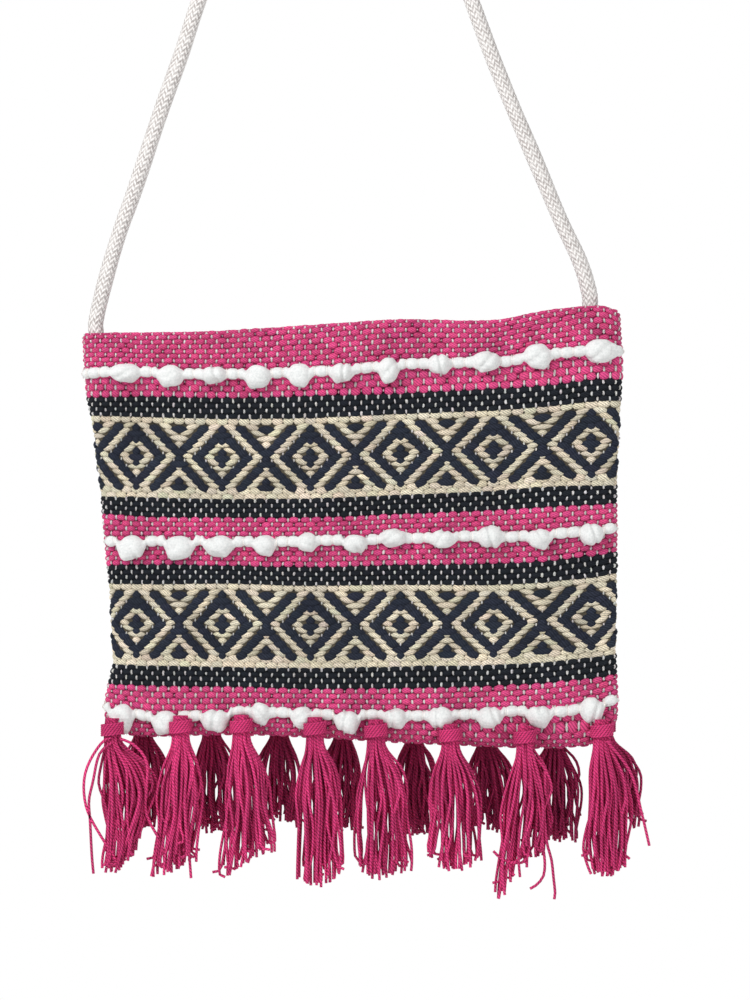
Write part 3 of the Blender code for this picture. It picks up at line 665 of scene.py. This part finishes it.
def plied_cotton(name, lay, plies, depth, dark, spread=0.9):
    """Matt spun cotton, dyed by the piece's own dye attribute. Its plies run round the yarn as slanting
    ridges, a lay being one full turn in mm, with light single fibres. The grooves between them get painted
    shade: their colour is darkened down to the share given as dark."""
    material, tree, shader = new_material(name, 0.92, 0.2, 0.0)
    along, angle = yarn_coordinates(tree)
    place = tree.nodes.new("ShaderNodeTexCoord").outputs["Object"]
    wobble = add_node(tree, "ShaderNodeTexNoise", place, 420.0, 2.0)
    turn = add_node(tree, "ShaderNodeMath", along, math.pi * plies / lay, operation="MULTIPLY")
    phase = add_node(tree, "ShaderNodeMath", angle, plies / 2, turn, operation="MULTIPLY_ADD")
    phase = add_node(tree, "ShaderNodeMath", wobble, spread, phase, operation="MULTIPLY_ADD")
    ridge = add_node(tree, "ShaderNodeMath", phase, operation="SINE")
    ridge = add_node(tree, "ShaderNodeMath", ridge, operation="ABSOLUTE")
    fibre = add_node(tree, "ShaderNodeTexNoise", place, 1700.0, 2.0)
    patch = add_node(tree, "ShaderNodeTexNoise", place, 45.0, 2.0)
    # Painted shade in the grooves between the plies: the colour falls to the share dark there.
    painted_groove_shade = add_node(tree, "ShaderNodeMapRange", ridge, 0.05, 0.75, dark, 1.12)
    speck = add_node(tree, "ShaderNodeMapRange", fibre, 0.36, 0.66, 0.80, 1.22)
    cloud = add_node(tree, "ShaderNodeMapRange", patch, 0.35, 0.65, 0.88, 1.10)
    tone = add_node(tree, "ShaderNodeMath", painted_groove_shade, speck, operation="MULTIPLY")
    tone = add_node(tree, "ShaderNodeMath", tone, cloud, operation="MULTIPLY")
    dye = tree.nodes.new("ShaderNodeAttribute")
    dye.attribute_name = "dye"
    colour = add_node(tree, "ShaderNodeVectorMath", dye.outputs["Color"], tone, operation="SCALE")
    tree.links.new(colour, shader["Base Color"])
    height = add_node(tree, "ShaderNodeMath", fibre, 0.5, ridge, operation="MULTIPLY_ADD")
    tree.links.new(add_node(tree, "ShaderNodeBump", 0.8, depth, None, height), shader["Normal"])
    return material


# Weft cotton: a loose, thick yarn. Its strands show as slanting ridges about 1 mm apart on every bead.
# Its grooves get painted shade, down to 0.45 of the dye.
weft_cotton = plied_cotton("weft_cotton", 16.0, 8, 0.0005, 0.45)
weft_growth = weft_tree("weft_floats_on_cloth", weft_cotton)
for name, side, seed in (("woven_front", -1, 11), ("woven_back", 1, 12)):
    table = new_object(name + "_floats", float_table(name + "_floats", weft_floats(seed)))
    cloth = ground_mesh(name, side)
    weft = grow(name + "_weft", weft_growth, cloth, Floats=table, Stations=7, Sides=5, Mirrored=side < 0,
                Warp=WARP * 1000)
    bpy.data.objects.remove(table)
    cloth.materials.append(weft_cotton)
    cloth.shade_smooth()
    panel = new_object(name, cloth)
    for piece in (panel, weft):
        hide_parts("woven_shell")
        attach(piece, "root")


# Bobble cords. Three soft cords a side of white stretch jersey, laid in as thick wefts and pinched by every
# second warp. Between some warps the cord is pulled up into a puff, eleven to a row. The front rows have the
# photograph's puffs; the back rows, which it hides, have the same ones the other way round, less even.
BOBBLE_ROWS = (
    ("upper", 9, (
        (109, 141, 363, 382), (158, 184, 365, 387), (203, 226, 366, 384), (246, 270, 365, 389),
        (289, 311, 364, 386), (331, 353, 363, 383), (379, 398, 358, 382), (428, 450, 354, 375),
        (472, 499, 351, 372), (524, 551, 344, 368), (585, 617, 338, 363)),
     ((84, 373.5), (108, 371.5), (147, 371.5), (193, 374), (235, 374), (278, 373), (322, 371.5),
      (363, 368.5), (407, 364), (455, 363), (506, 361.5), (553, 353.5), (582, 351), (620, 351))),
    ("middle", 40, (
        (118, 144, 536, 560), (166, 194, 536, 559), (205, 234, 535, 557), (254, 276, 535, 555),
        (298, 317, 533, 551), (344, 366, 534, 553), (381, 406, 528, 547), (431, 454, 530, 548),
        (477, 502, 526, 547), (528, 551, 528, 549), (580, 603, 523, 545)),
     ((105, 541.5), (157, 541), (198, 540.5), (240, 541.5), (287, 541.5), (326, 540), (375, 539.5),
      (416, 538), (465, 536), (509, 537), (558, 533.5), (612, 528.5))),
    ("lower", 72, (
        (111, 132, 705, 732), (153, 177, 711, 735), (202, 228, 709, 732), (250, 270, 703, 724),
        (292, 313, 707, 728), (335, 359, 711, 733), (384, 406, 708, 729), (429, 452, 707, 728),
        (478, 501, 707, 728), (528, 551, 706, 727), (581, 603, 698, 723)),
     ((104, 707), (146, 717), (193, 716.5), (239, 711.5), (278, 712.5), (322, 714.5), (371, 715),
      (415, 716), (463, 715), (512, 711.5), (564, 712), (576, 710), (612, 701))),
)
CORD_STATION = 0.0006
CORD_SIDES = 22
CORD_HALF = 0.0031
CORD_PINCH = 0.0008
CORD_OUT = 0.0010
CORD_SUNK = -0.0008
PUFF_DEPTH = 0.0058
SEAM_SPARE = 0.0030
SEAM_TAPER = 0.0040
THREAD_RADIUS = 0.00026
THREAD_SPREAD = 0.0006
MIRROR_PIXEL = 720


def closed_mesh(name, rings, material):
    """A closed tube through rings of points, with its ends capped and its faces outwards."""
    count, around = rings.shape[:2]
    ring, spoke = [grid.ravel() for grid in np.meshgrid(np.arange(count - 1), np.arange(around), indexing="ij")]
    beside = (spoke + 1) % around
    faces = np.stack([ring * around + spoke, ring * around + beside, (ring + 1) * around + beside,
                      (ring + 1) * around + spoke], axis=1).tolist()
    faces += [list(range(around))[::-1], list(range((count - 1) * around, count * around))]
    mesh = bpy.data.meshes.new(name)
    mesh.from_pydata(rings.reshape(-1, 3).tolist(), [], faces)
    shape = bmesh.new()
    shape.from_mesh(mesh)
    bmesh.ops.recalc_face_normals(shape, faces=shape.faces)
    shape.to_mesh(mesh)
    shape.free()
    mesh.shade_smooth()
    mesh.materials.append(material)
    return mesh


def seam_flat_x(pick, side_index):
    """The flat X where the cloth reaches a seam, half way round its edge."""
    reach = (end_room(pick) + CLOTH) * (np.pi / 2 - 1)
    return side_x(pick, side_index) + (-reach if side_index == 0 else reach)


def bobble_cord(name, side, pick, puffs, middles, material, seed):
    """A jersey cord along one pick, with its pinches, its puffs, and creases and lobes in each puff."""
    rng = np.random.default_rng(seed)
    flat = np.arange(seam_flat_x(pick, 0) + SEAM_SPARE, seam_flat_x(pick, 1) - SEAM_SPARE, CORD_STATION)
    px = flat / PIXEL + ORIGIN_PIXEL[0]
    base = cloth_surface(flat, pick, side)[0]
    out = cloth_normals(flat, pick, side)
    level = (ORIGIN_PIXEL[1] - np.interp(px, *np.array(middles, float).T)) * PIXEL if side < 0 else base[:, 2]
    places = np.interp(px, *np.array(WARP_PIXELS).T[::-1])
    from_thread = (places + pick) % 2 - 1
    pinch = np.exp(-((1 - np.abs(from_thread)) / 0.33) ** 2)
    half = CORD_HALF - CORD_PINCH * pinch
    deep = half.copy()
    angle = np.linspace(0, 2 * np.pi, CORD_SIDES, endpoint=False)[None]
    swell = np.ones((len(flat), CORD_SIDES)) * (1 + 0.03 * np.sin(3 * angle + px[:, None] * 0.21))
    raised = np.zeros(len(flat))
    for left, right, top, bottom in puffs:
        if side > 0:
            shift = rng.normal(0, 1.5)
            left, right = MIRROR_PIXEL - right + shift, MIRROR_PIXEL - left + shift
        share = (px - (left + right) / 2) / ((right - left) / 2 + 2)
        form = np.maximum(1 - np.abs(share) ** 2.3, 0.0) ** 0.7
        tall = (bottom - top) * PIXEL / 2
        if side < 0:
            puff_level = (ORIGIN_PIXEL[1] - (top + bottom) / 2) * PIXEL
            level = level + (puff_level - level) * np.minimum(form * 1.5, 1.0)
        half = np.maximum(half, tall * form)
        deep = np.maximum(deep, PUFF_DEPTH * rng.normal(1.0, 0.07) * form)
        raised = np.maximum(raised, form)
        tilt, shift = rng.uniform(-1.1, 1.1), rng.uniform(-0.35, 0.35)
        along = share[:, None] * np.cos(tilt) + np.sin(angle) * np.sin(tilt) - shift
        crease = 0.26 * np.exp(-(along / 0.13) ** 2) * (np.cos(angle) > -0.2)
        corner = np.exp(-((share[:, None] - rng.choice((-0.55, 0.5))) / 0.33) ** 2)
        corner = 0.30 * corner * np.exp(-((angle - rng.uniform(4.2, 5.2)) / 0.45) ** 2)
        lobes = 0.06 * np.sin(2 * angle + rng.uniform(0, 6.28)) + 0.03 * np.sin(
            5 * angle + 4 * share[:, None] + rng.uniform(0, 6.28))
        pucker = 0.07 * np.sin(9 * angle + rng.uniform(0, 6.28)) * share[:, None] ** 2
        swell = swell + (lobes + pucker + corner - crease) * form[:, None]
    taper = 0.25 + 0.75 * ease(np.minimum(flat - flat[0], flat[-1] - flat) / SEAM_TAPER)
    half, deep = half * taper, deep * taper
    away = (CORD_OUT + 0.0016 * raised)[:, None] + deep[:, None] * np.cos(angle) * swell
    away = np.maximum(away, CORD_SUNK)
    up = half[:, None] * np.sin(angle) * swell
    rings = base[:, None] + out[:, None] * away[..., None]
    rings[..., 2] = level[:, None] + up
    mesh = closed_mesh(name, rings, material)
    run = np.cumsum(np.full(len(flat), CORD_STATION)) * 1000
    yarn = np.stack([np.broadcast_to(run[:, None], swell.shape), np.broadcast_to(np.cos(angle), swell.shape),
                     np.broadcast_to(np.sin(angle), swell.shape)], axis=-1)
    set_attribute(mesh, "yarn", "FLOAT_VECTOR", yarn.reshape(-1, 3))
    threads = []
    arc = [k % CORD_SIDES for k in range(-CORD_SIDES // 3, CORD_SIDES // 3 + 1)]
    for warp in range(FIRST_WARP, LAST_WARP + 1):
        station = int(np.argmin(np.abs(places - warp)))
        if (warp + pick) % 2 or raised[station] > 0.35 or abs(places[station] - warp) > 0.3:
            continue
        ring, across = rings[station], rings[min(station + 1, len(rings) - 1)] - rings[station - 1]
        across = across.mean(axis=0) / np.linalg.norm(across.mean(axis=0))
        middle = ring.mean(axis=0)
        for shift in (-THREAD_SPREAD, THREAD_SPREAD):
            over = ring[arc] + (ring[arc] - middle) * 0.05 + across * (shift + rng.normal(0, 0.0001))
            threads.append(np.concatenate([over[:1] + [0, -side * 0.0012, -0.0020], over,
                                           over[-1:] + [0, -side * 0.0012, 0.0020]]))
    return new_object(name, mesh), threads


# Stretch jersey: bright white and soft, with fine knitted columns along the cord and cool shadows in folds.
jersey, tree, shader = new_material("white_stretch_jersey", 0.85, 0.2, 0.15)
along, angle = yarn_coordinates(tree)
column = add_node(tree, "ShaderNodeMath", angle, 15.0, operation="MULTIPLY")
stitch = add_node(tree, "ShaderNodeMath", along, 7.0, column, operation="MULTIPLY_ADD")
weave = add_node(tree, "ShaderNodeMath", add_node(tree, "ShaderNodeMath", stitch, operation="SINE"),
                 add_node(tree, "ShaderNodeMath", column, operation="COSINE"), operation="ADD")
place = tree.nodes.new("ShaderNodeTexCoord").outputs["Object"]
fluff = add_node(tree, "ShaderNodeTexNoise", place, 900.0, 3.0)
tone = add_node(tree, "ShaderNodeMapRange", fluff, 0.35, 0.6)
mix = add_node(tree, "ShaderNodeMix", tone, (*linear("D6D9D8"), 1), (*linear("E6E7E6"), 1), data_type="RGBA")
tree.links.new(mix, shader["Base Color"])
height = add_node(tree, "ShaderNodeMath", fluff, 2.0, weave, operation="MULTIPLY_ADD")
tree.links.new(add_node(tree, "ShaderNodeBump", 0.25, 0.0002, None, height), shader["Normal"])

# Warp threads over the cords: pairs of thin white two-ply warp ends that hold each cord down on the cloth.
# Its grooves get painted shade, down to 0.75 of its white.
warp_cotton = plied_cotton("warp_cotton", 1.4, 2, 0.0001, 0.75, 0.2)
warp_growth = yarn_tree("warp_threads", warp_cotton)
for side_name, side in (("front", -1), ("back", 1)):
    crossings = []
    for number, (row_name, pick, puffs, middles) in enumerate(BOBBLE_ROWS):
        cord, threads = bobble_cord(f"{side_name}_jersey_cord_{row_name}", side, pick, puffs, middles, jersey,
                           20 + number + 3 * side)
        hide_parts(f"{side_name}_bobble_cord_{row_name}")
        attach(cord, "root")
        crossings += threads
    tie = grow(f"woven_{side_name}_warp_over_cords", warp_growth,
               line_mesh("threads_start", crossings, [np.full(len(line), THREAD_RADIUS) for line in crossings],
                         np.tile(linear("EFE9E4"), (len(crossings), 1)), np.zeros(len(crossings))),
               Sides=4, Relief=0.0, Row=1.0, Strands=1.0)
    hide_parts("woven_shell")
    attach(tie, "root")


# Tassels. Each is a hank of two-ply cotton yarn doubled through the cloth just above the fold, and wound
# round six times at its neck. The front ones have the photograph's spread and length: left and right edges
# at the middle and the end, and three end heights. The back ones fill their own CAD pieces' boxes, and their
# yarn is darkened as painted shade for the bag's shadow they hang in.
TASSEL_PIXELS = (
    ((99, 158), (100, 140), (873, 870, 850)), ((160, 203), (151, 198), (877, 872, 862)),
    ((226, 268), (221, 277), (889, 861, 853)), ((297, 343), (295, 345), (880, 886, 876)),
    ((357, 408), (355, 410), (873, 879, 870)), ((427, 481), (425, 483), (866, 870, 862)),
    ((501, 551), (492, 551), (903, 872, 848)), ((586, 631), (588, 629), (874, 878, 868)),
)
STRAY_PIXELS = {
    1: (((112, 737), (103.4, 741), (92.3, 756.8), (85.6, 773.6), (84.5, 792.5), (88.9, 812.6), (102.3, 837),
         (113.5, 853.9), (120.2, 869.5)),
        ((114, 741), (100, 753.5), (93.4, 781.4), (89.5, 800), (90.6, 820.4), (92.3, 853.9), (94, 872.9)),
        ((120, 738), (134.7, 744.5), (147, 761), (147, 787), (145.8, 809), (151.4, 823.8), (159, 837))),
    2: (((180, 742), (164.8, 778), (162.6, 798), (162, 814.8), (168, 822.6), (170.4, 809), (167, 792.5)),
        ((186, 742), (196, 790), (190, 840), (191.6, 877))),
    7: (((529, 742), (541, 790), (546, 839), (550.8, 858), (553, 877), (554.5, 891), (553.7, 898)),
        ((527, 742), (538, 800), (542.5, 845), (544.3, 861.6), (542.5, 875.7), (534.3, 885), (529.5, 887.5)),
        ((522, 742), (526, 800), (527, 826), (528.4, 850), (521, 861.6), (503.6, 859), (493, 850))),
    8: (((606, 740), (630, 772), (641, 812), (648.7, 845)),),
}
TASSEL_DYE = "CE3B74"
# Painted shade on the back hanks: the same yarn, darkened to stand for the bag's shadow.
BACK_PAINTED_SHADE = 0.7
STRANDS = 46
STRAND_RADIUS = 0.00082
STRAND_STATION = 0.0036
HANK_HALF = 0.0044
HANK_DEPTH = 0.0075
HEAD_RISE = 0.0060
BINDING_TURNS = 6
BINDING_RADIUS = 0.0007


def hank_lines(neck, middle, end, bottoms, rng):
    """The strands of a hank: from inside the cloth, through the neck, then out to the middle's and the end's
    half widths, each with its own slow wave, and now and then a hooked end."""
    lines = []
    for k in range(STRANDS):
        reach, turn = math.sqrt((k + 0.5) / STRANDS), k * 2.39996
        a, b = reach * math.cos(turn), reach * math.sin(turn)
        share = (a + 1) / 2 + rng.normal(0, 0.06)
        low = smooth(bottoms, share) + abs(rng.normal(0, 0.0035)) + (0.010 if rng.random() < 0.12 else 0.0)
        waves = rng.normal(0, 0.0017, 2)
        starts = rng.uniform(0, 6.28, 2)
        points = [(neck[0] + a * HANK_HALF * 0.8, neck[1] + b * HANK_HALF * 0.7, neck[2] + HEAD_RISE)]
        for t in (0.0, 0.10, 0.26, 0.45, 0.62, 0.80, 0.92, 1.0):
            open_out = ease(t / 0.42)
            half = np.interp(share, (0, 1), np.subtract(middle, neck[0]))
            tail = np.interp(share, (0, 1), np.subtract(end, neck[0]))
            x = a * HANK_HALF + (half - a * HANK_HALF) * open_out + (tail - half) * ease((t - 0.45) / 0.55)
            y = b * HANK_HALF * 0.8 + b * (HANK_DEPTH - HANK_HALF * 0.8) * open_out
            x += waves[0] * math.sin(7.0 * t + starts[0]) * open_out
            y += waves[1] * math.sin(7.0 * t + starts[1]) * open_out
            z = neck[2] - 0.004 + (low - neck[2] + 0.004) * t
            points.append((neck[0] + x, neck[1] + y, z))
        if rng.random() < 0.22:
            hook = rng.choice((-1, 1)) * rng.uniform(0.002, 0.005)
            points[-1] = (points[-2][0] + hook, points[-2][1] - 0.001, points[-2][2] - 0.0015)
        lines.append(even_line(points, STRAND_STATION))
    return lines


def coil_line(low, high, radius, turns):
    """A close coil round the inside of a box, from its top to its bottom."""
    middle, half = (low + high) / 2, (high - low) / 2 - radius
    angle = np.linspace(0, 2 * np.pi * turns, 18 * turns + 1)
    drop = np.linspace(half[2], -half[2], len(angle))
    return np.stack([middle[0] + half[0] * np.sin(angle), middle[1] + half[1] * np.cos(angle),
                     middle[2] + drop + 0.0005 * np.sin(angle)], axis=1)


# Tassel yarn: two plies twisted like a small rope, one turn in 4 mm, deep pink, with painted shade in the
# grooves.
tassel_cotton = plied_cotton("tassel_cotton", 4.0, 2, 0.0004, 0.35, 0.4)
yarn_growth = yarn_tree("twisted_yarns", tassel_cotton)
for side_name, side in (("front", -1), ("back", 1)):
    for number, (middle, end, bottoms) in enumerate(TASSEL_PIXELS, 1):
        rng = np.random.default_rng(40 + number + 10 * side)
        tie_low, tie_high = [np.array(corner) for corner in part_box(f"{side_name}_tassel_binding_{number}")]
        hank_low, hank_high = [np.array(corner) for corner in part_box(f"{side_name}_tassel_{number}")]
        neck = (tie_low + tie_high) / 2
        if side < 0:
            middle, end = [[at_pixel(px, 0)[0] for px in span] for span in (middle, end)]
            bottoms = [at_pixel(0, py)[2] for py in bottoms]
        else:
            middle, end = [[hank_low[0] + rng.uniform(0, 0.002), hank_high[0] - rng.uniform(0, 0.002)]] * 2
            bottoms = [hank_low[2] + rng.uniform(0, 0.006) for _ in range(3)]
        lines = hank_lines(neck, middle, end, bottoms, rng)
        for stray in STRAY_PIXELS.get(number, ()) if side < 0 else ():
            lines.append(even_line([at_pixel(px, py, neck[1] - 0.004) for px, py in stray], STRAND_STATION))
        # The back hanks and their coils are darkened as painted shade for the bag's shadow; the yarn is the
        # same as in front.
        dye = linear(TASSEL_DYE) * (1.0 if side < 0 else BACK_PAINTED_SHADE)
        tint = rng.normal(1.0, 0.10, (len(lines), 1))
        hank = grow(f"{side_name}_hank_{number}", yarn_growth,
                    line_mesh("hank_start", lines, [np.full(len(line), STRAND_RADIUS) for line in lines],
                              dye * tint, rng.uniform(0, 40, len(lines))),
                    Sides=5, Relief=0.0, Row=1.0, Strands=1.0)
        coil = coil_line(tie_low, tie_high, BINDING_RADIUS, BINDING_TURNS)
        binding = grow(f"{side_name}_neck_coil_{number}", yarn_growth,
                       line_mesh("coil_start", [coil], [np.full(len(coil), BINDING_RADIUS)],
                                 dye[None], np.zeros(1)),
                       Sides=6, Relief=0.0, Row=1.0, Strands=1.0)
        for piece, node in ((hank, "tassel"), (binding, "tassel_binding")):
            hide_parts(f"{side_name}_{node}_{number}")
            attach(piece, "root")


# Lining. A thin pouch of plain cream cotton inside the cloth, sewn under the hem. It covers the tails of the
# bobble yarn and the loops of the tassels. It is hidden in the photograph and finished plainly.
LINING_GAP = 0.0007
LINING_THICK = 0.0006
LINING_TOP, LINING_BOTTOM = 6.5, 73.0
LINING_RINGS, LINING_COLUMNS = 34, 70


def lining_ring(pick, inset, sink=0.0, squeeze=1.0):
    """One closed ring of the pouch at a pick: the front from left to right, then the back."""
    ring = []
    for side in (-1, 1):
        reach = (end_room(pick) - inset) * (np.pi / 2 - 1)
        flat = np.linspace(side_x(pick, 0) + CLOTH + inset - reach, side_x(pick, 1) - CLOTH - inset + reach,
                           LINING_COLUMNS)
        x, y, _ = skin(flat, np.full(LINING_COLUMNS, pick), -inset)
        wave = 0.0003 * np.sin(flat * 160 + pick * 0.3)
        z = row_z(flat, np.full(LINING_COLUMNS, float(pick))) - sink
        points = np.stack([x, side * np.maximum(y + wave - 0.0003, 0.0) * squeeze, z], axis=1)
        points[[0, -1], 1] = 0.0
        ring.append(points if side < 0 else points[-2:0:-1])
    return np.concatenate(ring)


# Lining cotton: a fine plain weave, cream and matt, its threads half a millimetre apart.
lining_cotton, tree, shader = new_material("lining_cotton", 0.9, 0.2)
place = tree.nodes.new("ShaderNodeTexCoord").outputs["Object"]
threads = []
for direction in ("X", "Z"):
    lines = add_node(tree, "ShaderNodeTexWave", place, 1000.0, bands_direction=direction)
    threads.append(tree.nodes[-1].outputs["Fac"])
height = add_node(tree, "ShaderNodeMath", *threads, operation="ADD")
patch = add_node(tree, "ShaderNodeTexNoise", place, 40.0, 2.0)
mix = add_node(tree, "ShaderNodeMix", patch, (*linear("D8CDB6"), 1), (*linear("E6DDC9"), 1), data_type="RGBA")
tree.links.new(mix, shader["Base Color"])
tree.links.new(add_node(tree, "ShaderNodeBump", 0.4, 0.0001, None, height), shader["Normal"])

rings = []
for inset in (LINING_GAP, LINING_GAP + LINING_THICK):
    picks = np.linspace(LINING_TOP, LINING_BOTTOM, LINING_RINGS)
    layer = [lining_ring(pick, inset) for pick in picks]
    layer += [lining_ring(LINING_BOTTOM, inset, sink - inset, squeeze)
              for sink, squeeze in ((0.0012, 0.75), (0.0018, 0.35))]
    rings += layer[::-1] if inset == LINING_GAP else layer
lining = new_object("cotton_lining", closed_mesh("cotton_lining", np.array(rings), lining_cotton))
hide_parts("lining")
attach(lining, "root")


# Stage. A plain pale floor well under the hanging bag, and soft studio light from large panels. The white
# backdrop is the world, which lights the bag less than the camera sees it.
FLOOR_Z = -1.15
FLOOR_RADIUS = 2.6
WORLD_LIGHT = 0.62

bpy.ops.mesh.primitive_circle_add(vertices=96, radius=FLOOR_RADIUS, fill_type="NGON", location=(0, 0, FLOOR_Z))
floor = bpy.context.object
floor.name = "floor"
pale, tree, shader = new_material("pale_floor", 0.9)
shader["Base Color"].default_value = (*linear("F4F4F4"), 1)
floor.data.materials.append(pale)

world = bpy.data.worlds.new("studio")
bpy.context.scene.world = world
world.use_nodes = True
seen = world.node_tree.nodes.new("ShaderNodeLightPath").outputs["Is Camera Ray"]
strength = add_node(world.node_tree, "ShaderNodeMapRange", seen, 0.0, 1.0, WORLD_LIGHT, 1.0)
world.node_tree.nodes["Background"].inputs["Color"].default_value = (1.0, 1.0, 1.0, 1.0)
world.node_tree.links.new(strength, world.node_tree.nodes["Background"].inputs["Strength"])
for name, place, size, power in (
        ("key", (-1.1, -1.3, 0.7), 0.7, 26.0), ("fill", (1.4, -1.5, -0.1), 1.4, 7.0),
        ("back", (0.6, 1.6, 0.6), 1.2, 12.0)):
    lamp_data = bpy.data.lights.new(name, "AREA")
    lamp_data.size = size
    lamp_data.energy = power
    lamp = bpy.data.objects.new(name, lamp_data)
    bpy.context.scene.collection.objects.link(lamp)
    lamp.location = place
    aim = np.array((0.0, 0.0, -0.45)) - np.array(place)
    lamp.rotation_euler = (math.atan2(math.hypot(aim[0], aim[1]), -aim[2]), 0.0,
                           math.atan2(aim[1], aim[0]) - math.pi / 2)
bpy.context.scene.view_settings.view_transform = "Standard"
